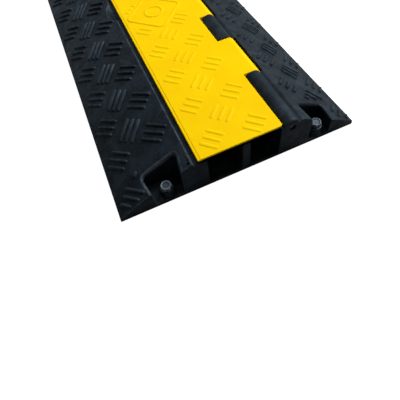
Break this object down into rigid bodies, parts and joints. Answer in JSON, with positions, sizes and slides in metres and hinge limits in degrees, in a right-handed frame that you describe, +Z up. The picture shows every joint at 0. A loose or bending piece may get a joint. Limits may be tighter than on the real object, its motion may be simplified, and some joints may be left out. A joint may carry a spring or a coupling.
{
  "type": "cable protector ramp",
  "caption": "Low rubber floor ramp that shields cables in channels under a hinged yellow lid, with dovetail connectors at its ends.",
  "frame": {"origin": "middle of the overall width and length, on the ground", "axes": "+X across the ramp towards the hinge side, +Y along the ramp from the pocket end to the tongue end, +Z up"},
  "size_m": [0.25, 1.0214, 0.0425],
  "materials": {
    "black_rubber": "moulded, satin, slightly scuffed",
    "yellow_plastic": "moulded, satin",
    "zinc_steel": "zinc plated",
    "rod_steel": "drawn bright steel",
    "insert_brass": "machined"
  },
  "bodies": {
    "base": {"ramp_base": "black_rubber", "hinge_rod": "rod_steel", "left_connector_bolt": "zinc_steel", "left_connector_washer": "zinc_steel", "left_connector_insert": "insert_brass", "right_connector_bolt": "zinc_steel", "right_connector_washer": "zinc_steel", "right_connector_insert": "insert_brass"},
    "lid": {"hinged_lid": "yellow_plastic"}
  },
  "joints": [
    {"name": "lid_hinge", "type": "hinge", "parent": "base", "child": "lid", "pos_m": [0.052, 0, 0.034], "axis": [0, 1, 0], "range_deg": [0, 100]}
  ]
}
